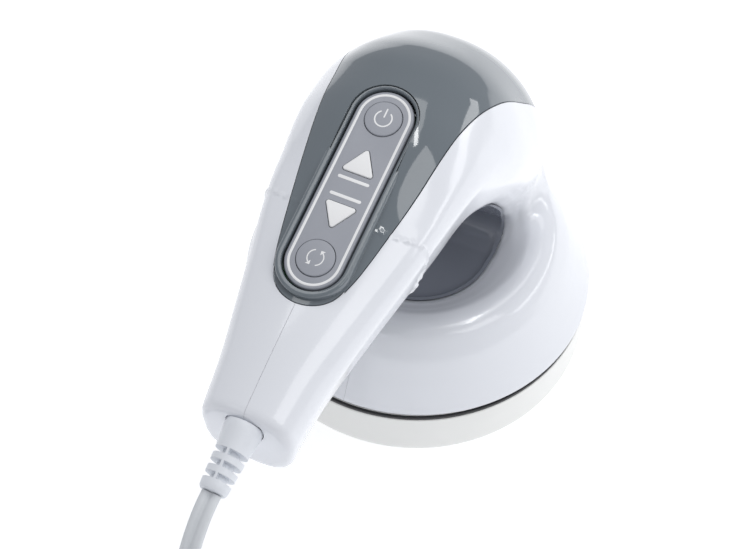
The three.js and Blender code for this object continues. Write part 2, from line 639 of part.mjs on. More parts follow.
// ---- cord --------------------------------------------------------------------------------
const RELIEF_SLOTS = [9, 13, 17];
function strainRelief() {
  const sleeve = lathe([[0, -6], [4, -6], [4, -0.6], [6, -0.6], [6.1, 1], [5.9, 4], [5.2, 10],
    [4.6, RELIEF_LENGTH - 1], [4, RELIEF_LENGTH], [0, RELIEF_LENGTH]], 16);
  const flange = block(-0.6, 6, -5, 5, -6.6, -4.9);
  let s = solid(onRelief(sleeve)).add(solid(onRelief(flange)));
  for (const at of RELIEF_SLOTS) {
    s = s.subtract(solid(onRelief(block(0.9, 8, -8, 8, at, at + 1.4))));
    s = s.subtract(solid(onRelief(block(-8, -0.9, -8, 8, at, at + 1.4))));
  }
  return s;
}
add("strain_relief", biggest(strainRelief()), WHITE());

// Eight-sided flat section: one size across the route, the other square to it.
function cordSection(first, second) {
  const shape = new THREE.Shape();
  const reach = 1 / Math.cos(Math.PI / 8);
  for (let i = 0; i < 8; i++) {
    const a = ((i + 0.5) / 8) * 2 * Math.PI;
    const corner = [(first / 2) * reach * Math.cos(a), (second / 2) * reach * Math.sin(a)];
    if (i === 0) shape.moveTo(...corner);
    else shape.lineTo(...corner);
  }
  shape.closePath();
  return shape;
}
function cordTube(route, section, steps) {
  const path = new THREE.CatmullRomCurve3(route.map((p) => new THREE.Vector3(...p)), false, "centripetal");
  return new THREE.ExtrudeGeometry(section, { steps, extrudePath: path, bevelEnabled: false });
}
add("power_cord", cordTube(CORD_ROUTE, cordSection(CORD_W, CORD_T), 24), CORD_GREY());
add("plug_lead", cordTube(LEAD_ROUTE, cordSection(CORD_T, CORD_W), 8), CORD_GREY());
const [coilX, coilY] = COIL_CENTRE;
add("cord_coil", ring(coilX, coilY, ...COIL_Z, COIL_IN, COIL_OUT, 32), CORD_GREY());
function tie() {
  const [r0, r1] = [COIL_IN - FIT, COIL_OUT + FIT];
  const [z0, z1] = [COIL_Z[0] - FIT, COIL_Z[1] + FIT];
  const outside = solid(block(r0 - 1, r1 + 1, -2.5, 2.5, z0 - 1, z1 + 1));
  return outside.subtract(solid(block(r0, r1, -4, 4, z0, z1))).translate([coilX, coilY, 0]);
}
add("cord_tie", tie(), BLACK());

// The plug lies beside the coil, its pins pointing away from it along -X.
const [plugX, plugY, plugZ] = PLUG_AT;
function plugBody() {
  const outline = new THREE.Shape();
  outline.moveTo(0, -4);
  outline.lineTo(-8, -8);
  outline.lineTo(-16, -16.5);
  outline.lineTo(-30, -17.5);
  outline.lineTo(-30, 17.5);
  outline.lineTo(-16, 16.5);
  outline.lineTo(-8, 8);
  outline.lineTo(0, 4);
  outline.closePath();
  return plate(outline, -6.8, 6.8).translate(plugX, plugY, plugZ);
}
add("plug_body", plugBody(), CORD_GREY());
for (const [name, side] of [["left", -1], ["right", 1]]) {
  const pin = new THREE.CylinderGeometry(2, 2, 19, 20).rotateZ(Math.PI / 2)
    .translate(plugX - 30.3 - 9.5, plugY + side * 9.5, plugZ);
  add(`plug_pin_${name}`, pin, STEEL());
}

export default group;
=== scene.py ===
"""Looks of a handheld orbital massager: shells, panel, massage head, cord, materials and light.

Lengths are millimetres, in the CAD model's frame, until a mesh is made in metres.
"""
import json
import math

import bmesh
import bpy
import numpy as np
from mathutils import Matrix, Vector


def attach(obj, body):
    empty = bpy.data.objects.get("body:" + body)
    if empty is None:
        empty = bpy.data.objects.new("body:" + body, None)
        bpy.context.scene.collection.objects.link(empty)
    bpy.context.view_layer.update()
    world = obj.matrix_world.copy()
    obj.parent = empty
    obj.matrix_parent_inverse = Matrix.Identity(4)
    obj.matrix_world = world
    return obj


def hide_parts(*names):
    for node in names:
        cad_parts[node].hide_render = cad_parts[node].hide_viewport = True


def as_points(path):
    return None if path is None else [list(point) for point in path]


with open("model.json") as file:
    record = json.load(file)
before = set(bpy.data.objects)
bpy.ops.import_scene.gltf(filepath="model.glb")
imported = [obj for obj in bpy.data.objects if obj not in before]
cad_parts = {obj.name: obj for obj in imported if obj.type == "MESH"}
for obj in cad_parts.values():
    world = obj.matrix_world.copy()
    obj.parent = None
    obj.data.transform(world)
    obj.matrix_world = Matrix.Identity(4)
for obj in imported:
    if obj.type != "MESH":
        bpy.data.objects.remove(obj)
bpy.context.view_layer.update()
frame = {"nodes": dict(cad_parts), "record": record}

MM = 0.001

# ---- sizes shared with the CAD model ------------------------------------------------------
HEAD_R = 64.4
HEAD_H = 24.6
DOME_Z = 25.4
WALL = 2.4
FIT = 0.3
PARTING_HALF = 0.03  # from the symmetry plane to each half of the housing
END_X = 131
ORBIT_R = 1.5
DISH_R = 28  # round floor of the finger gap
NECK_SIDE = 2.6  # how much wider the dish is towards the neck

PANEL_X = 31.9
PANEL_Z = 144.9
TILT = math.radians(14.4)
PANEL_FROM = 31.3
PANEL_TO = 81.4
BEZEL_R = 12.4
SLEEVE_R = BEZEL_R - 1.2
KEY_TOP = 1.1

RELIEF_ROOT = (END_X, 0, 108.7)
RELIEF_TILT = math.radians(12)
RELIEF_LENGTH = 22
RELIEF_SLOTS = (8.8, 12.8, 16.8)
SLOT_W = 1.9
RELIEF_CORE_R = 2.8  # what the slots leave round the cord

CORD_W = 6.5
CORD_T = 3.2
CORD_ROUTE = [
    (152.8, 0, 104), (157.4, 0, 102.6), (162.3, 0, 99.8), (167.6, 0, 95), (172.6, 0, 87.6),
    (176.4, 0, 78), (178.4, 0, 67), (179, 0, 53), (180.2, 0, 39), (184.2, 0, 25),
    (191.4, 0, 13.6), (201.6, 0, 5.6), (214, 0, 2.2), (228, -0.4, 1.8), (240, -2.6, 2.8),
    (249, -4.6, 3.8),
]
COIL_CENTRE = (258, -47.4)
COIL_LANES = [(42, 0), (37, 0), (32, 0), (32, 1), (37, 1), (37, 2), (42, 1)]  # radius, row
COIL_ROW = 6.65
COIL_FOOT = 4.8
COIL_HALF_TURNS = 13
LEAD_ROUTE = [(238.5, -88.7, 10), (230, -88.6, 8.8), (222, -88.6, 7.6), (214.3, -88.6, 7.2)]
PLUG_AT = (214, -88.6, 7.2)


# ---- camera -------------------------------------------------------------------------------
def make_camera():
    data = bpy.data.cameras.new("camera")
    data.lens = 86.4
    data.sensor_width = 36
    camera = bpy.data.objects.new("camera", data)
    camera.location = (0.3640, 0.1520, 0.5775)
    look = Vector((-0.5237, -0.2442, -0.8161))
    camera.rotation_euler = look.to_track_quat("-Z", "Y").to_euler()
    bpy.context.scene.collection.objects.link(camera)
    bpy.context.scene.camera = camera


make_camera()


# ---- small mathematics --------------------------------------------------------------------
def curve(*points):
    """A smooth curve through a few points that never overshoots them, level past both ends."""
    xs, ys = (np.array(c, float) for c in zip(*points))
    width = np.diff(xs)
    step = np.diff(ys) / width
    slope = np.concatenate([step[:1], np.zeros(len(step) - 1), step[-1:]])
    for i in range(1, len(step)):
        a, b = step[i - 1], step[i]
        slope[i] = 2 * a * b / (a + b) if a * b > 0 else 0

    def value(x):
        x = np.clip(x, xs[0], xs[-1])
        i = np.clip(np.searchsorted(xs, x, side="right") - 1, 0, len(step) - 1)
        t = (x - xs[i]) / width[i]
        blend = t * t * (3 - 2 * t)
        bend = width[i] * t * (1 - t)
        return ys[i] * (1 - blend) + ys[i + 1] * blend + bend * ((1 - t) * slope[i] - t * slope[i + 1])

    return value


def smooth_min(a, b, k):
    h = np.clip(0.5 + 0.5 * (b - a) / k, 0, 1)
    return b + (a - b) * h - k * h * (1 - h)


def smooth_max(a, b, k):
    return -smooth_min(-a, -b, k)


def rounded_route(points, parts):
    """Points along a smooth curve through the given ones."""
    p = np.array(points, float)
    p = np.concatenate([[2 * p[0] - p[1]], p, [2 * p[-1] - p[-2]]])
    out = []
    for i in range(1, len(p) - 2):
        for n in range(parts):
            t = n / parts
            a, b, c, d = p[i - 1], p[i], p[i + 1], p[i + 2]
            out.append(b + 0.5 * t * (c - a + t * (2 * a - 5 * b + 4 * c - d + t * (3 * (b - c) + d - a))))
    return np.array(out + [p[-2]])


# ---- outer form of the housing ------------------------------------------------------------
TOP = curve((-56, 60), (-40, 104), (-28, 125), (-14, 136.5), (0, 143), (12, 146), (24, 146.5),
            (48, 141), (81, 131.5), (108, 124), (132, 116))
HALF_WIDTH = curve((-20, 37), (20, 34), (35, 33.5), (60, 30), (85, 24.7), (98, 22),
                   (114, 19), (132, 17))
DEPTH = curve((0, 51), (30, 43.5), (55, 38), (98, 31), (131, 28))
CROWN = curve((-30, 21), (0, 26), (30, 18.5), (60, 10.5), (131, 7.5))
SIDE_SLOPE = curve((20, 0.2), (75, 0.28), (131, 0.2))
NECK_CENTRE = curve((0, -37), (40, -26.5), (60, -18), (80, -9.5), (100, -0.5), (126, 11.5))
NECK_LENGTH = curve((0, 16), (20, 27), (40, 35.5), (60, 41), (80, 44.5), (126, 44))
NECK_WIDTH = curve((0, 20), (20, 27), (40, 33.5), (60, 36), (80, 36.5), (100, 35), (126, 32))
DOME = curve((0, 19.6), (28, 19.8), (31, 21.5), (36, 25.5), (41, 29), (45, 29.8), (49, 28.5),
             (54, 22.5), (58, 14.7), (61, 8.6), (63.2, 4.1), (65, 0), (67, -20))


def rise(f, x):
    return f(x + 0.5) - f(x - 0.5)


def crowned_top(x, y, z, width):
    across = np.abs(y) / width
    height = TOP(x) - CROWN(x) * across ** 2.2
    lean = 2 * CROWN(x) * across / width
    return (z - height) / np.sqrt(1 + rise(TOP, x) ** 2 + lean ** 2)


def handle_form(x, y, z):
    width = HALF_WIDTH(x)
    top = crowned_top(x, y, z, width)
    tapered = (np.abs(y) - width + SIDE_SLOPE(x) * (TOP(x) - 12 - z)) / 1.035
    side = smooth_max(tapered, np.abs(y) - width - 0.5, 6)
    bottom = TOP(x) - DEPTH(x) - z
    section = smooth_max(smooth_max(top, side, 6), bottom, 9)
    return smooth_max(smooth_max(section, x - END_X, 3), -8 - x, 20)


def neck_form(x, y, z):
    h = z - HEAD_H
    length, width = NECK_LENGTH(h), NECK_WIDTH(h)
    reach = np.hypot((x - NECK_CENTRE(h)) / length, y / width)
    side = (reach - 1) * np.minimum(length, width) * 0.95
    return smooth_max(side, crowned_top(x, y, z, 38), 15)


def dome_form(x, y, z):
    r = np.hypot(x, y)
    top = (z - HEAD_H - DOME(r)) / np.hypot(1, rise(DOME, r))
    return smooth_max(top, r - HEAD_R - 0.6, 1)


def housing_form(x, y, z):
    arm = smooth_min(handle_form(x, y, z), neck_form(x, y, z), 12)
    return np.maximum(smooth_min(arm, dome_form(x, y, z), 14), DOME_Z - 6 - z)


# ---- mesh helpers -------------------------------------------------------------------------
def new_object(name, points, faces):
    """A closed piece from points in millimetres, its faces turned outwards."""
    mesh = bpy.data.meshes.new(name)
    mesh.from_pydata((np.asarray(points, float) * MM).tolist(), [], [list(map(int, f)) for f in faces])
    bm = bmesh.new()
    bm.from_mesh(mesh)
    bmesh.ops.recalc_face_normals(bm, faces=bm.faces)
    bm.to_mesh(mesh)
    bm.free()
    mesh.polygons.foreach_set("use_smooth", np.ones(len(mesh.polygons), bool))
    obj = bpy.data.objects.new(name, mesh)
    bpy.context.scene.collection.objects.link(obj)
    return obj


def discard(*objects):
    for obj in objects:
        bpy.data.objects.remove(obj)


def boolean(obj, tool, operation):
    modifier = obj.modifiers.new("tool", "BOOLEAN")
    modifier.operation = operation
    modifier.solver = "MANIFOLD"
    modifier.object = tool
    made = bpy.data.meshes.new_from_object(obj.evaluated_get(bpy.context.evaluated_depsgraph_get()))
    obj.modifiers.remove(modifier)
    if not made.polygons:
        raise ValueError(f"{operation} of {obj.name} with {tool.name} left nothing")
    obj.data = made
    return obj


def cut(obj, *tools):
    for tool in tools:
        boolean(obj, tool, "DIFFERENCE")
    return obj


def keep(obj, tool):
    return boolean(obj, tool, "INTERSECT")


def copy_of(obj, name):
    twin = bpy.data.objects.new(name, obj.data.copy())
    bpy.context.scene.collection.objects.link(twin)
    return twin


def keep_largest(obj):
    """Drops every loose part but the one with the most faces."""
    bm = bmesh.new()
    bm.from_mesh(obj.data)
    left = set(bm.verts)
    groups = []
    while left:
        group = set()
        edge_of_group = [left.pop()]
        while edge_of_group:
            vert = edge_of_group.pop()
            group.add(vert)
            near = [e.other_vert(vert) for e in vert.link_edges]
            edge_of_group += [v for v in near if v in left]
            left.difference_update(near)
        groups.append(group)
    groups.sort(key=len)
    bmesh.ops.delete(bm, geom=[v for group in groups[:-1] for v in group], context="VERTS")
    bm.to_mesh(obj.data)
    bm.free()
    return obj


def sharpen(obj, degrees=32):
    obj.data.polygons.foreach_set("use_smooth", np.ones(len(obj.data.polygons), bool))
    obj.data.set_sharp_from_angle(angle=math.radians(degrees))
    return obj


def slope_of(field, p):
    h = 0.2
    slope = np.empty_like(p)
    for d in range(3):
        ahead, behind = p.copy(), p.copy()
        ahead[:, d] += h
        behind[:, d] -= h
        slope[:, d] = (field(*ahead.T) - field(*behind.T)) / (2 * h)
    return slope


def surface_of(name, field, low, high, step):
    """Mesh of the place where a signed distance is zero: a point for each grid cell it crosses."""
    low = np.array(low, float)
    count = np.ceil((np.array(high) - low) / step).astype(int) + 1
    x, y, z = (low[d] + step * np.arange(count[d]) for d in range(3))
    value = field(x[:, None, None], y[None, :, None], z[None, None, :])
    inside = value < 0
    corners = [(i, j, k) for i in (0, 1) for j in (0, 1) for k in (0, 1)]
    size = count - 1
    total = sum(inside[i:i + size[0], j:j + size[1], k:k + size[2]].astype(int) for i, j, k in corners)
    crossed = (total > 0) & (total < 8)
    number = np.full(crossed.shape, -1)
    number[crossed] = np.arange(crossed.sum())
    cells = np.argwhere(crossed)
    moved = np.zeros(cells.shape)
    hits = np.zeros(len(cells))
    for a in corners:
        for d in range(3):
            if a[d]:
                continue
            b = [c + (n == d) for n, c in enumerate(a)]
            va = value[tuple((cells + a).T)]
            vb = value[tuple((cells + b).T)]
            here = (va < 0) != (vb < 0)
            t = va[here] / (va[here] - vb[here])
            moved[here] += np.array(a) + t[:, None] * (np.array(b) - a)
            hits[here] += 1
    points = low + step * (cells + moved / hits[:, None])
    for _ in range(3):
        slope = slope_of(field, points)
        length = np.maximum(0.05, (slope ** 2).sum(1))
        off = (field(*points.T) / length)[:, None] * slope
        points -= np.clip(off, -step / 2, step / 2)
    faces = []
    for d in range(3):
        u, v = (d + 1) % 3, (d + 2) % 3
        ends = [slice(None)] * 3
        starts = [slice(None)] * 3
        ends[d] = slice(1, None)
        starts[d] = slice(None, -1)
        edges = np.argwhere(inside[tuple(starts)] != inside[tuple(ends)])
        quad = []
        for du, dv in ((1, 1), (0, 1), (0, 0), (1, 0)):
            cell = edges.copy()
            cell[:, u] -= du
            cell[:, v] -= dv
            quad.append(number[tuple(cell.T)])
        faces.append(np.stack(quad, 1))
    return new_object(name, points, np.concatenate(faces))


def outline(core, radius, segments):
    """Round-cornered outline about a core of one, two or more points, listed anticlockwise."""
    core = [np.array(p, float) for p in core]
    if len(core) == 1:
        turns = np.arange(4 * segments) * 2 * math.pi / (4 * segments)
        return [core[0] + radius * np.array((math.cos(a), math.sin(a))) for a in turns]
    points = []
    for i, p in enumerate(core):
        before = p - core[i - 1]
        after = core[(i + 1) % len(core)] - p
        start = math.atan2(-before[0], before[1])
        turn = (math.atan2(-after[0], after[1]) - start) % (2 * math.pi)
        for n in range(segments + 1):
            a = start + turn * n / segments
            points.append(p + radius * np.array((math.cos(a), math.sin(a))))
    return points


def upright(u, v, w):
    return u, v, w


def tower(name, core, rows, place=upright, ring=False, segments=24):
    """A stack of outlines, each a radius about the core and a height: capped, or closed as a ring."""
    stacks = [[(*p, w) for p in outline(core, radius, segments)] for radius, w in rows]
    n = len(stacks[0])
    points = np.array([place(*p) for stack in stacks for p in stack], float)
    faces = []
    for i in range(len(rows) if ring else len(rows) - 1):
        j = (i + 1) % len(rows)
        faces += [(i * n + k, i * n + (k + 1) % n, j * n + (k + 1) % n, j * n + k) for k in range(n)]
    if not ring:
        faces += [range(n), range((len(rows) - 1) * n, len(rows) * n)]
    return sharpen(new_object(name, points, faces))


def prism(name, points, low, high, place):
    """A plain outline carried from low to high, for cutting with."""
    n = len(points)
    both = [place(*p, w) for w in (low, high) for p in points]
    sides = [(k, (k + 1) % n, n + (k + 1) % n, n + k) for k in range(n)]
    return new_object(name, both, sides + [range(n), range(n, 2 * n)])


def block(name, low, high):
    (x0, y0, z0), (x1, y1, z1) = low, high
    return prism(name, [(x0, y0), (x1, y0), (x1, y1), (x0, y1)], z0, z1, upright)


def rounded(radius, w0, w1, top, bottom=0.0, steps=5):
    """Rows of a tower from w0 up to w1 with rounded edges."""
    rows = []
    for n in range(steps + 1) if bottom else [steps]:
        a = math.pi / 2 * n / steps
        rows.append((radius - bottom * (1 - math.sin(a)), w0 + bottom * (1 - math.cos(a))))
    for n in range(steps + 1) if top else [0]:
        a = math.pi / 2 * n / steps
        rows.append((radius - top * (1 - math.cos(a)), w1 - top * (1 - math.sin(a))))
    return rows


def side_view(x, z, y):
    return x, y, z


def front_view(y, z, x):
    return x, y, z


def on_panel(u, v, w):
    return (PANEL_X + u * math.cos(TILT) + w * math.sin(TILT), v,
            PANEL_Z - u * math.sin(TILT) + w * math.cos(TILT))


def along(x):
    return (x - PANEL_X) / math.cos(TILT)


def on_relief(u, v, w):
    """u points up, v to the side and w out of the handle along the strain relief's axis."""
    c, s = math.cos(RELIEF_TILT), math.sin(RELIEF_TILT)
    return RELIEF_ROOT[0] + w * c + u * s, v, RELIEF_ROOT[2] - w * s + u * c


# ---- materials ----------------------------------------------------------------------------
def node(tree, kind, **values):
    made = tree.nodes.new(kind)
    for name, value in values.items():
        if name in made.inputs:
            made.inputs[name].default_value = value
        else:
            setattr(made, name, value)
    return made


def noise(tree, scale, detail=2.0, roughness=0.5):
    """Noise over the piece's own surface, scale in waves for each metre."""
    place = node(tree, "ShaderNodeTexCoord")
    texture = node(tree, "ShaderNodeTexNoise", Scale=scale, Detail=detail, Roughness=roughness)
    tree.links.new(place.outputs["Object"], texture.inputs["Vector"])
    return texture.outputs["Fac"]


def spread(tree, value, low, high):
    made = node(tree, "ShaderNodeMapRange")
    made.inputs["From Min"].default_value = 0.3
    made.inputs["From Max"].default_value = 0.7
    made.inputs["To Min"].default_value = low
    made.inputs["To Max"].default_value = high
    tree.links.new(value, made.inputs["Value"])
    return made.outputs["Result"]


def tinted(tree, value, first, second):
    made = node(tree, "ShaderNodeMix", data_type="RGBA")
    made.inputs[6].default_value = (*first, 1)
    made.inputs[7].default_value = (*second, 1)
    tree.links.new(value, made.inputs["Factor"])
    return made.outputs[2]


def linear(colour):
    return tuple(((c / 255 + 0.055) / 1.055) ** 2.4 if c > 10 else c / 255 / 12.92 for c in colour)


def material(name, colour, rough, grain=600, depth=0.02, mottle=0.03, edge=0.0, patches=35, **shader):
    """Moulded or machined finish: colour mottle, patchy roughness, fine grain and softened edges."""
    made = bpy.data.materials.new(name)
    made.use_nodes = True
    tree = made.node_tree
    principled = tree.nodes["Principled BSDF"]
    for socket, value in shader.items():
        principled.inputs[socket.replace("_", " ")].default_value = value
    base = linear(colour)
    first = tuple(c * (1 - mottle) for c in base)
    second = tuple(min(1, c * (1 + mottle)) for c in base)
    blotch = noise(tree, patches, 3)
    colours = tinted(tree, spread(tree, blotch, 0, 1), first, second)
    tree.links.new(colours, principled.inputs["Base Color"])
    worn = noise(tree, patches * 2.3, 4, 0.6)
    tree.links.new(spread(tree, worn, rough * 0.85, rough * 1.2), principled.inputs["Roughness"])
    bump = node(tree, "ShaderNodeBump", Strength=1.0, Distance=depth * MM)
    tree.links.new(noise(tree, grain, 3), bump.inputs["Height"])
    if edge:
        soft = node(tree, "ShaderNodeBevel", samples=4, Radius=edge * MM)
        tree.links.new(soft.outputs["Normal"], bump.inputs["Normal"])
    tree.links.new(bump.outputs["Normal"], principled.inputs["Normal"])
    return made


def brushed(name, colour, rough, stretch=(1, 1, 30), **shader):
    """Metal with fine turning or rolling lines."""
    made = material(name, colour, rough, Metallic=1.0, **shader)
    tree = made.node_tree
    place = node(tree, "ShaderNodeTexCoord")
    squeeze = node(tree, "ShaderNodeMapping")
    squeeze.inputs["Scale"].default_value = stretch
    lines = node(tree, "ShaderNodeTexNoise", Scale=260, Detail=4)
    tree.links.new(place.outputs["Object"], squeeze.inputs["Vector"])
    tree.links.new(squeeze.outputs["Vector"], lines.inputs["Vector"])
    bump = next(n for n in tree.nodes if n.type == "BUMP")
    tree.links.new(lines.outputs["Fac"], bump.inputs["Height"])
    tree.links.new(spread(tree, lines.outputs["Fac"], rough * 0.7, rough * 1.4),
                   tree.nodes["Principled BSDF"].inputs["Roughness"])
    return made


MATERIALS = {
    "white_shell": material("white_shell", (238, 240, 245), 0.16, 420, 0.006, 0.008, 0.25,
                            Coat_Weight=0.35),
    "warm_white": material("warm_white", (239, 239, 236), 0.33, 900, 0.012, 0.012, 0.3),
    "blue_grey": material("blue_grey", (112, 120, 126), 0.07, 300, 0.004, 0.02, 0.2, Coat_Weight=0.6),
    "key_grey": material("key_grey", (160, 163, 171), 0.38, 1500, 0.02, 0.015, 0.15),
    "liner_grey": material("liner_grey", (132, 136, 146), 0.16, 700, 0.01, 0.03, 0.2, Coat_Weight=0.3),
    "key_white": material("key_white", (245, 245, 245), 0.35, 1500, 0.015, 0.01, 0.15),
    "steel": brushed("steel", (200, 202, 205), 0.3),
    "brass": brushed("brass", (206, 172, 100), 0.3),
    "nylon": material("nylon", (233, 230, 218), 0.5, 900, 0.03, 0.03, 0.2, Subsurface_Weight=0.1),
    "circuit_board": material("circuit_board", (46, 107, 69), 0.35, 2500, 0.02, 0.12, patches=400),
    "black_plastic": material("black_plastic", (38, 38, 41), 0.45, 1500, 0.03, 0.06, 0.15),
    "cord_grey": material("cord_grey", (218, 221, 224), 0.42, 1200, 0.03, 0.02),
    "relief_white": material("relief_white", (230, 233, 238), 0.4, 1200, 0.03, 0.02, 0.2),
    "pad_grey": material("pad_grey", (168, 172, 178), 0.6, 1300, 0.05, 0.04),
}


def finish_piece(obj, slot, body, *nodes):
    """Gives a piece its material, its body and the CAD nodes that it stands for."""
    obj.data.materials.clear()
    obj.data.materials.append(MATERIALS[slot])
    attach(obj, body)
    if nodes:
        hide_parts(*nodes)
    return obj


# ---- cord, coil, tie and plug -------------------------------------------------------------
def coil_points():
    """The coil's turns, clockwise from its far side, one lane for each turn."""
    points = []
    per_turn = 48
    steps = COIL_HALF_TURNS * per_turn // 2
    for n in range(steps + 1):
        lane, part = divmod(n / per_turn, 1)
        here = COIL_LANES[int(lane)]
        after = COIL_LANES[min(int(lane) + 1, len(COIL_LANES) - 1)]
        t = min(1, max(0, (part - 0.8) / 0.2))
        t = t * t * (3 - 2 * t)
        radius = here[0] + (after[0] - here[0]) * t
        row = here[1] + (after[1] - here[1]) * t
        a = math.pi / 2 - 2 * math.pi * n / per_turn
        points.append((COIL_CENTRE[0] + radius * math.cos(a), COIL_CENTRE[1] + radius * math.sin(a),
                       COIL_FOOT + COIL_ROW * row))
    return points


def cord_section():
    """Two round conductors side by side with a web between them: across, then through."""
    lobe = CORD_T / 2
    centre = CORD_W / 2 - lobe
    turns = np.radians(np.linspace(-152, 152, 15))
    right = [(centre + lobe * math.cos(a), lobe * math.sin(a)) for a in turns]
    return right + [(-u, -v) for u, v in right]


def make_cord():
    coil = coil_points()
    lead_in = rounded_route(CORD_ROUTE + coil[:2], 4)[:-5]
    lead_out = rounded_route(coil[-2:] + LEAD_ROUTE, 4)[5:]
    route = np.concatenate([lead_in, coil, lead_out])
    tangent = np.gradient(route, axis=0)
    tangent /= np.linalg.norm(tangent, axis=1)[:, None]
    # The flat cord hangs and lies with its width across, and stands on edge in the coil.
    edge_on = np.interp(np.arange(len(route)),
                        [len(lead_in) - 12, len(lead_in), len(lead_in) + len(coil), len(route) - 3],
                        [0, math.pi / 2, math.pi / 2, 0])
    wide = np.stack([np.zeros(len(route)), np.cos(edge_on), np.sin(edge_on)], 1)
    wide[len(lead_in):len(lead_in) + len(coil)] = (0, 0, 1)
    wide -= (wide * tangent).sum(1)[:, None] * tangent
    wide /= np.linalg.norm(wide, axis=1)[:, None]
    thin = np.cross(tangent, wide)
    section = cord_section()
    n = len(section)
    points = np.concatenate([[p + u * w + v * t for u, v in section]
                             for p, w, t in zip(route, wide, thin)])
    faces = [(i * n + k, i * n + (k + 1) % n, (i + 1) * n + (k + 1) % n, (i + 1) * n + k)
             for i in range(len(route) - 1) for k in range(n)]
    faces += [range(n), range((len(route) - 1) * n, len(route) * n)]
    cord = finish_piece(sharpen(new_object("mains_cord", points, faces), 60), "cord_grey", "housing",
                        "power_cord", "plug_lead", "cord_coil")
    length = float(np.linalg.norm(np.diff(route, axis=0), axis=1).sum()) * MM
    return cord, route * MM, length


def make_tie():
    """Hook-and-loop strap round the coil's turns."""
    x0, x1 = COIL_CENTRE[0] + 30, COIL_CENTRE[0] + 44
    z0, z1 = 1.2, 21.8
    core = [(x0 + 2, z0 + 2), (x1 - 2, z0 + 2), (x1 - 2, z1 - 2), (x0 + 2, z1 - 2)]
    y = COIL_CENTRE[1]
    rows = [(2.1, y - 2.5), (2.8, y - 2.5), (3, y - 2.3), (3, y + 2.3), (2.8, y + 2.5), (2.1, y + 2.5)]
    strap = tower("tie_strap", core, rows, side_view, ring=True, segments=8)
    return finish_piece(strap, "black_plastic", "housing", "cord_tie")


def make_plug():
    """Moulded two-pin plug with a ribbed neck, its pins pointing back along -X."""
    def place(u, v, w):
        return PLUG_AT[0] + u, PLUG_AT[1] + v, PLUG_AT[2] + w
    body_core = [(-27.5, -15), (-17, -14.2), (-9, -6), (-3, -2),
                 (-3, 2), (-9, 6), (-17, 14.2), (-27.5, 15)]
    body = tower("plug_moulding", body_core, rounded(2.5, -6.8, 6.8, 2.4, 2.4), place)
    grips = []
    for n in range(4):
        u = -20.2 - 2.2 * n
        for side in (-1, 1):
            core = [(u, side * 14), (u, side * 19)] if side > 0 else [(u, -19), (u, -14)]
            grips.append(tower("groove", core, [(0.55, -9), (0.55, 9)], place, segments=6))
    cut(body, *grips)
    discard(*grips)
    pieces = [finish_piece(sharpen(body), "cord_grey", "housing", "plug_body")]
    for name, side in (("left", -1), ("right", 1)):
        def along_pin(u, v, w, side=side):
            return PLUG_AT[0] - w, PLUG_AT[1] + side * 9.5 + u, PLUG_AT[2] + v
        rows = [(2, 30.3), (2, 40), (2, 47.3), (1.9, 48.2), (1.5, 48.9), (0.9, 49.3)]
        pin = tower(f"pin_{name}", [(0, 0)], rows, along_pin, segments=8)
        pieces.append(finish_piece(pin, "steel", "housing", f"plug_pin_{name}"))
    return pieces


cord, cord_path, cord_length = make_cord()
cord_pieces = [make_tie()] + make_plug()


# ---- strain relief ------------------------------------------------------------------------
def make_relief():
    """Tapered sleeve with rings cut by slots, such as let a strain relief bend with the cord."""
    rows = [(4, -6), (4, -0.6), (6, -0.6), (6.2, 0.4), (6.1, 2), (5.8, 4.5), (5.45, 8), (5.15, 12),
            (4.9, 16), (4.7, 20), (4.5, 21.3), (4.1, 21.9), (3.6, 22)]
    sleeve = tower("relief_sleeve", [(0, 0)], rows, on_relief, segments=12)
    core = tower("core", [(0, 0)], [(RELIEF_CORE_R, 0), (RELIEF_CORE_R, RELIEF_LENGTH - 1)], on_relief)
    for at in RELIEF_SLOTS:
        for side in (-1, 1):
            def across(w, h, v, side=side):
                return on_relief(w, side * v, h)
            corners = [(-9, at), (9, at), (9, at + SLOT_W), (-9, at + SLOT_W)]
            slot = cut(prism("slot", corners, 0.4, 9, across), core)
            cut(sleeve, slot)
            discard(slot)
    discard(core)
    return finish_piece(sharpen(sleeve), "relief_white", "housing", "strain_relief")


relief = make_relief()
tuple(cord_path[0])
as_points(cord_path)


# ---- shells, cover and liner --------------------------------------------------------------
LOW = (-72, -72, DOME_Z - 12)
HIGH = (140, 72, 156)
FINE = 1.3

GAP_FLOOR = HEAD_H + 17.5
GAP_BACK = [(-11.5, 20.5), (-14.5, 27.5), (-9.5, 38), (-3, 49.5), (10.5, 68.5),
            (22, 78.5), (34, 82), (46, 78), (60, 66)]  # x, height above the head's ring
FUNNEL = curve((30, DISH_R), (40, DISH_R), (44.5, DISH_R), (48.6, 29.5), (53.6, 32),
               (60.6, 38), (69.6, 50), (79.6, 90), (120, 200))
FUNNEL_LEAN = curve((36, 1), (44.5, 0.98), (48.6, 0.9), (53.6, 0.74), (60.6, 0.6),
                    (69.6, 0.4), (79.6, 0.25), (120, 0.2))
GAP_STEP = 1.0
COVER_HALF = curve((-60, 30.5), (-27, 30.3), (-14, 29), (3, 26.5), (17, 24), (33, 22), (50, 19.6),
                   (65, 16.9), (80, 13.8), (86, 12))


GAP_LOW = (-24, -66, 34)
GAP_HIGH = (90, 66, 118)
TABLE_X, TABLE_Z = -28, 30  # first corner of the table of distances


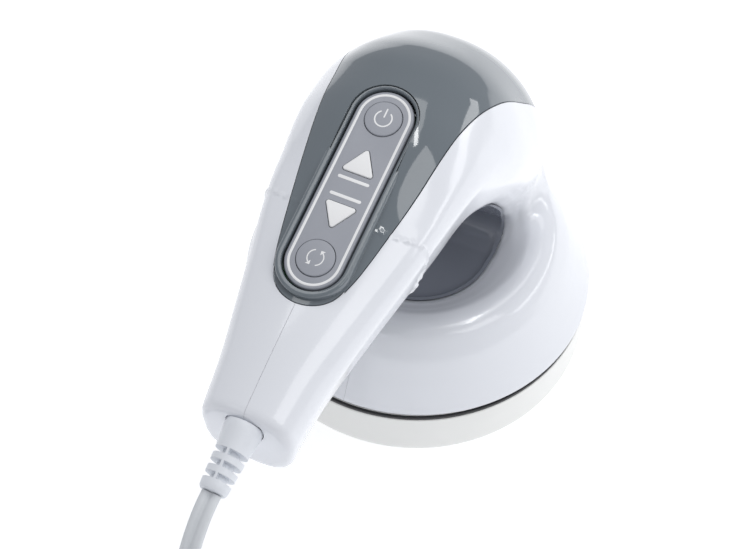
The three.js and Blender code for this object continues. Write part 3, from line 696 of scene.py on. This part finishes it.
def outline_distance():
    """Signed distance to the gap's outline on the symmetry plane, as a 1 mm table to read between."""
    back = rounded_route([(-5, GAP_FLOOR)] + [(x, HEAD_H + h) for x, h in GAP_BACK], 6)
    outline = np.concatenate([[(95, GAP_FLOOR)], back, [(95, HEAD_H + 40)]])
    x, z = np.meshgrid(np.arange(TABLE_X, 95), np.arange(TABLE_Z, 124), indexing="ij")
    nearest = np.full(x.shape, 1e9)
    inside = np.zeros(x.shape, bool)
    for (x0, z0), (x1, z1) in zip(outline, np.roll(outline, -1, axis=0)):
        dx, dz = x1 - x0, z1 - z0
        t = np.clip(((x - x0) * dx + (z - z0) * dz) / max(1e-9, dx * dx + dz * dz), 0, 1)
        nearest = np.minimum(nearest, np.hypot(x - x0 - t * dx, z - z0 - t * dz))
        if abs(dz) > 1e-9:
            inside ^= ((z0 > z) != (z1 > z)) & (x < x0 + (z - z0) * dx / dz)
    return np.where(inside, -nearest, nearest)


GAP_TABLE = outline_distance()


def gap_side(x, z):
    """Reads the table of distances between its four nearest corners."""
    i = np.clip((x - TABLE_X).astype(int), 0, GAP_TABLE.shape[0] - 2)
    k = np.clip((z - TABLE_Z).astype(int), 0, GAP_TABLE.shape[1] - 2)
    u, v = x - TABLE_X - i, z - TABLE_Z - k
    near = GAP_TABLE[i, k] * (1 - v) + GAP_TABLE[i, k + 1] * v
    far = GAP_TABLE[i + 1, k] * (1 - v) + GAP_TABLE[i + 1, k + 1] * v
    return near * (1 - u) + far * u


def gap_form(x, y, z, margin=0.0):
    """The finger gap: swept across the neck and closed in by the round dish below, with a soft
    meeting between the two. The dish is a little wider towards the neck."""
    r = np.hypot(x, y)
    share = np.clip(-2 * x / np.maximum(r, 1), 0, 1)
    widen = NECK_SIDE * share * share * (3 - 2 * share)
    dish = (r - widen - FUNNEL(z)) * FUNNEL_LEAN(z)
    form = smooth_max(gap_side(x, z), dish, 5) - margin
    limits = [np.maximum(low - v, v - high) for v, low, high in zip((x, y, z), GAP_LOW, GAP_HIGH)]
    return np.maximum(form, np.maximum(np.maximum(*limits[:2]), limits[2]) + 2)


def gap_solid(name, margin):
    return surface_of(name, lambda x, y, z: gap_form(x, y, z, margin), GAP_LOW, GAP_HIGH, GAP_STEP)


def skin_form(x, y, z):
    """The outside of the housing with the finger gap taken out of it, its rim slightly rounded."""
    return smooth_max(housing_form(x, y, z), -gap_form(x, y, z, 0.4), 1.6)


def cover_region(name, margin):
    """Plan outline of the cover, cut off at the back along a shallow curve."""
    half = [(x, float(COVER_HALF(x)) + margin) for x in np.arange(-70, 86.1, 2)]
    for a in np.radians(np.arange(78, 0, -6)):
        half.append((83 + (12 + margin) * math.cos(a), (12 + margin) * math.sin(a)))
    plan = half + [(95 + margin, 0)] + [(x, -y) for x, y in reversed(half)]
    region = prism(name, plan, 20, 170, upright)
    rear = [(y, HEAD_H + 40 + 14 * (y / 30) ** 2 - margin) for y in np.arange(-45, 45.1, 1.5)]
    behind = prism("behind", [(-45, 170)] + rear + [(45, 170)], -90, 120, front_view)
    keep(region, behind)
    discard(behind)
    return region


def exact_normals(obj, field, level=0.0):
    """Takes the shading normals of the outer skin from the form itself, and flat ones elsewhere."""
    mesh = obj.data
    mesh.polygons.foreach_set("use_smooth", np.ones(len(mesh.polygons), bool))
    points = np.empty(len(mesh.vertices) * 3)
    mesh.vertices.foreach_get("co", points)
    points = points.reshape(-1, 3) / MM
    slope = slope_of(field, points)
    slope /= np.maximum(1e-9, np.linalg.norm(slope, axis=1))[:, None]
    on_skin = np.abs(field(*points.T) - level) < 0.12
    loops = np.empty(len(mesh.loops), int)
    mesh.loops.foreach_get("vertex_index", loops)
    flat = np.empty(len(mesh.polygons) * 3)
    mesh.polygons.foreach_get("normal", flat)
    sizes = np.empty(len(mesh.polygons), int)
    mesh.polygons.foreach_get("loop_total", sizes)
    face_normal = np.repeat(flat.reshape(-1, 3), sizes, axis=0)
    agrees = (slope[loops] * face_normal).sum(1) > 0.8
    normals = np.where((on_skin[loops] & agrees)[:, None], slope[loops], face_normal)
    mesh.normals_split_custom_set(normals.tolist())
    return obj


def make_shells():
    outer = surface_of("outer", skin_form, LOW, HIGH, FINE)
    inner = surface_of("inner", lambda x, y, z: housing_form(x, y, z) + WALL, LOW, HIGH, 3)
    skin = surface_of("skin", lambda x, y, z: housing_form(x, y, z) + 0.25, LOW, HIGH, 2)
    above_seam = block("above_seam", (-80, -80, DOME_Z), (140, 80, 160))
    cover_gap = cover_region("cover_gap", FIT / 2)
    bore = [(4.35, -12), (4.35, -0.9), (6.5, -0.9), (6.5, 12)]
    relief_bore = tower("relief_bore", [(0, 0)], bore, on_relief)

    shell = cut(keep(copy_of(outer, "shell"), above_seam), inner, cover_gap, relief_bore)
    for name, side in (("left", -1), ("right", 1)):
        near, far = sorted((side * PARTING_HALF, side * 90))
        half_space = block("half_space", (-90, near, 0), (150, far, 170))
        half = keep_largest(keep(copy_of(shell, f"shell_{name}"), half_space))
        for x, z in ((112, 103.5), (6, 121), (-53.5, 47)):
            if side < 0:
                well = tower("well", [(x, z)], [(3.3, -50), (3.3, -7)], side_view)
                cut(half, well)
                discard(well)
        exact_normals(half, skin_form)
        finish_piece(half, "white_shell", "housing", f"{name}_housing")
        discard(half_space)

    cover_area = cover_region("cover_area", -FIT / 2)
    panel_hole = tower("panel_hole", PANEL_CORE, [(SLEEVE_R + FIT, -9), (SLEEVE_R + FIT, 9)], on_panel)
    cover = keep_largest(cut(keep(copy_of(outer, "cover_shell"), cover_area), inner, panel_hole))
    exact_normals(cover, housing_form)
    finish_piece(cover, "blue_grey", "housing", "top_cover")

    liner_back = gap_solid("liner_back", 0.3)
    finger_space = gap_solid("finger_space", -0.5)
    liner = keep_largest(cut(keep(copy_of(liner_back, "gap_lining"), skin), finger_space))
    finish_piece(sharpen(liner, 40), "liner_grey", "housing", "grip_liner")
    discard(outer, inner, skin, above_seam, cover_gap, relief_bore, shell, cover_area,
            panel_hole, liner_back, finger_space)


# ---- control panel ------------------------------------------------------------------------
PANEL_CORE = [(along(PANEL_FROM), 0), (along(PANEL_TO), 0)]


def key_core(tip, base, half, corner):
    """Core of a round-cornered triangle whose tip and base lie at these places along the panel."""
    tip, base = along(tip), along(base)
    inset = corner * math.copysign(1, base - tip)
    lean = corner / math.sin(math.atan2(half, abs(base - tip)))
    top = tip + math.copysign(lean, base - tip)
    foot = base - inset
    spread_here = (abs(foot - top)) * half / abs(base - tip)
    points = [(top, 0), (foot, -spread_here), (foot, spread_here)]
    return points if base > tip else points[:1] + points[:0:-1]


KEYS = [
    ("power", [(along(31.6), 0)], 6.0, "key_grey"),
    ("speed_up", key_core(42.4, 51.3, 5.6, 0.8), 0.8, "key_white"),
    ("speed_down", key_core(70.6, 62, 5.6, 0.8), 0.8, "key_white"),
    ("auto", [(along(80.7), 0)], 6.1, "key_grey"),
]


def inlay(name, core, width, w0=0.45, w1=0.68, segments=8):
    return finish_piece(tower(name, core, rounded(width / 2, w0, w1, 0.06), on_panel, segments=segments),
                        "key_white", "housing")


def arc_stroke(name, centre, radius, start, end, width, w1, body):
    """A printed arc on a key's face, angles in degrees from the cord end."""
    angles = np.radians(np.linspace(start, end, 25))
    points = []
    for side in (1, -1):
        for a in angles[::side]:
            r = radius + side * width / 2
            points.append((centre + r * math.cos(a), r * math.sin(a)))
    stroke = prism(name, points, KEY_TOP - 0.1, w1, on_panel)
    return finish_piece(sharpen(stroke), "key_white", body)


def under_form(x, y, z):
    """The housing's form a hair larger, as far as the panel reaches."""
    reach = np.maximum(np.maximum(np.abs(x - 57) - 45, np.abs(y) - 17), 112 - z)
    return np.maximum(housing_form(x, y, z) - 0.04, reach)


def make_panel():
    rim = [(SLEEVE_R, -5), (SLEEVE_R, -3.2), (BEZEL_R, -3.2)] + rounded(BEZEL_R, -3, 1.2, 0.95)[1:]
    inner_rim = [(10.9, 1.2), (10.5, 1.1), (10.3, 0.8), (10.25, 0.3), (10.25, -5)]
    bezel = tower("bezel_lip", PANEL_CORE, rim + inner_rim, on_panel, ring=True, segments=32)
    under = surface_of("under", under_form, (4, -24, 104), (110, 24, 160), 1.8)
    drill = tower("drill", PANEL_CORE, [(SLEEVE_R, -20), (SLEEVE_R, 20)], on_panel, segments=32)
    cut(under, drill)
    keep_largest(cut(bezel, under))
    discard(under, drill)
    finish_piece(sharpen(bezel), "blue_grey", "housing", "button_bezel")

    plate = tower("key_plate", PANEL_CORE, rounded(9.55, -2.2, 0.6, 0.7), on_panel, segments=32)
    for _, core, radius, _ in KEYS:
        hole = tower("hole", core, [(radius + 0.22, -4), (radius + 0.22, 4)], on_panel, segments=16)
        cut(plate, hole)
        discard(hole)
    finish_piece(sharpen(plate), "key_grey", "housing", "button_plate")
    line = [(8.55, 0.3), (8.55, 0.63), (8.5, 0.66), (7.75, 0.66), (7.7, 0.63), (7.7, 0.3)]
    white_line = tower("white_line", PANEL_CORE, line, on_panel, ring=True, segments=32)
    finish_piece(white_line, "key_white", "housing")
    inlay("bar_up", [(along(53.6), -4.8), (along(53.6), 4.8)], 1.1)
    inlay("bar_down", [(along(59.5), -4.8), (along(59.5), 4.8)], 1.1)

    for name, core, radius, slot in KEYS:
        rows = rounded(radius, -2.6, KEY_TOP, 0.35)
        cap = tower(f"{name}_cap", core, rows, on_panel, segments=16)
        finish_piece(cap, slot, f"{name}_key", f"{name}_button")
    power, cycle = along(31.6), along(80.7)
    arc_stroke("power_ring", power, 2.75, -145, 145, 0.5, KEY_TOP + 0.03, "power_key")
    stem = tower("power_stem", [(power - 3.4, 0), (power - 0.6, 0)],
                 [(0.26, KEY_TOP - 0.1), (0.26, KEY_TOP + 0.03)], on_panel, segments=5)
    finish_piece(stem, "key_white", "power_key")
    for n in (0, 180):
        arc_stroke(f"cycle_arc_{n}", cycle, 2.6, n + 20, n + 140, 0.4, KEY_TOP + 0.03, "auto_key")
        a = math.radians(n + 140)
        head = [(cycle + 2.6 * math.cos(a) + r * math.cos(a + b), 2.6 * math.sin(a) + r * math.sin(a + b))
                for r, b in ((1.0, math.pi), (1.1, math.pi / 2), (1.0, 0))]
        arrow = prism(f"cycle_tip_{n}", head, KEY_TOP - 0.1, KEY_TOP + 0.03, on_panel)
        finish_piece(sharpen(arrow), "key_white", "auto_key")


# ---- massage head -------------------------------------------------------------------------
SHADE_RING_R = HEAD_R - 1.3  # inside of the dark ring that runs under the dome, painted shade for the shadow in the running gap


def on_head(u, v, w):
    return u + ORBIT_R, v, w


def make_head():
    inner_wall = HEAD_R - 2.6
    rows = [(0.5, 8.6), (56.5, 8.6), (57, 8.2), (57, 0.6), (57.2, 0.2), (57.6, 0), (60.4, 0)]
    rows += [(60.4 + 4 * math.sin(a), 6 - 6 * math.cos(a)) for a in np.radians(np.arange(10, 91, 10))]
    rows += [(HEAD_R, HEAD_H - 1.5), (HEAD_R - 0.3, HEAD_H - 1.2),
             (SHADE_RING_R, HEAD_H - 1.2), (SHADE_RING_R, HEAD_H),
             (inner_wall, HEAD_H), (inner_wall, 11.6), (0.5, 11.6)]
    cup = tower("head_ring", [(0, 0)], rows, on_head, segments=40)
    finish_piece(cup, "warm_white", "orbit_head", "head_cup")
    # Black ring in the running gap under the dome: its dark colour is painted shade for the gap's shadow,
    # not a real seal.
    shade_ring_rows = [(SHADE_RING_R + 0.02, HEAD_H - 1.15), (HEAD_R - 0.25, HEAD_H - 1.15),
                 (HEAD_R - 0.15, HEAD_H - 0.6), (HEAD_R - 0.3, HEAD_H), (SHADE_RING_R + 0.02, HEAD_H)]
    shade_ring = tower("painted_shade_ring", [(0, 0)], shade_ring_rows, on_head, ring=True, segments=40)
    finish_piece(shade_ring, "black_plastic", "orbit_head")

    pad_rows = [(r, z) for r, z in rounded(56.4, 4.6, 8.3, 0.6, 0.6)]
    pad = tower("pad_disc", [(0, 0)], pad_rows, on_head, segments=32)
    around = [n * math.pi / 3 for n in range(6)]
    studs = [(0, 0, 11)] + [(37 * math.cos(a), 37 * math.sin(a), 8.5) for a in around]
    for x, y, r in studs:
        rows = [(r * 0.5, 0), (r * 0.62, 0.12), (r * 0.76, 0.55), (r * 0.88, 1.3), (r * 0.96, 2.4), (r, 4),
                (r + 0.5, 4.45), (r + 1.1, 4.7)]
        stud = tower("stud", [(x, y)], rows, on_head, segments=12)
        boolean(pad, stud, "UNION")
        discard(stud)
    finish_piece(sharpen(pad, 50), "pad_grey", "orbit_head", "massage_pad")


make_shells()
make_panel()
make_head()


# ---- CAD pieces that stay, with finer materials -------------------------------------------
def finish_cad_nodes():
    slots = {s["node"]: s["material_slot"] for s in frame["record"]["subparts"]}
    for name, obj in frame["nodes"].items():
        if obj.hide_render:
            continue
        obj.data.materials.clear()
        obj.data.materials.append(MATERIALS[slots[name]])


finish_cad_nodes()


# ---- floor and light ----------------------------------------------------------------------
def make_stage():
    corners = [(-1500, -1500, 0), (1500, -1500, 0), (1500, 1500, 0), (-1500, 1500, 0)]
    floor = new_object("floor", corners, [(0, 1, 2, 3)])
    floor.data.materials.append(material("floor", (246, 247, 249), 0.6, 200, 0.01, 0.004,
                                         Emission_Color=(1, 1, 1, 1), Emission_Strength=0.42))


def soft_light(name, place, aim, size, power, colour=(1, 1, 1)):
    data = bpy.data.lights.new(name, "AREA")
    data.shape = "RECTANGLE"
    data.size, data.size_y = size
    data.energy = power
    data.color = colour
    light = bpy.data.objects.new(name, data)
    light.location = place
    light.rotation_euler = (Vector(aim) - Vector(place)).to_track_quat("-Z", "Y").to_euler()
    bpy.context.scene.collection.objects.link(light)


def make_light():
    world = bpy.data.worlds.new("studio")
    world.use_nodes = True
    sky = world.node_tree.nodes["Background"]
    sky.inputs["Color"].default_value = (0.93, 0.95, 1, 1)
    sky.inputs["Strength"].default_value = 0.42
    bpy.context.scene.world = world
    middle = (0.03, 0, 0.08)
    soft_light("overhead", (-0.35, -0.1, 1.3), middle, (0.9, 0.9), 4.6)
    soft_light("right_box", (0.2, 0.78, 1.05), middle, (0.55, 0.5), 1.9)
    soft_light("right_strip", (-0.55, 1.0, 0.45), middle, (1.2, 0.22), 2.4)
    soft_light("top_strip", (-0.2, 0.28, 1.25), middle, (0.5, 0.08), 1.2)
    soft_light("front", (1.2, -0.6, 0.8), middle, (0.8, 0.6), 0.7)
    bpy.context.scene.view_settings.view_transform = "Standard"


make_stage()
make_light()
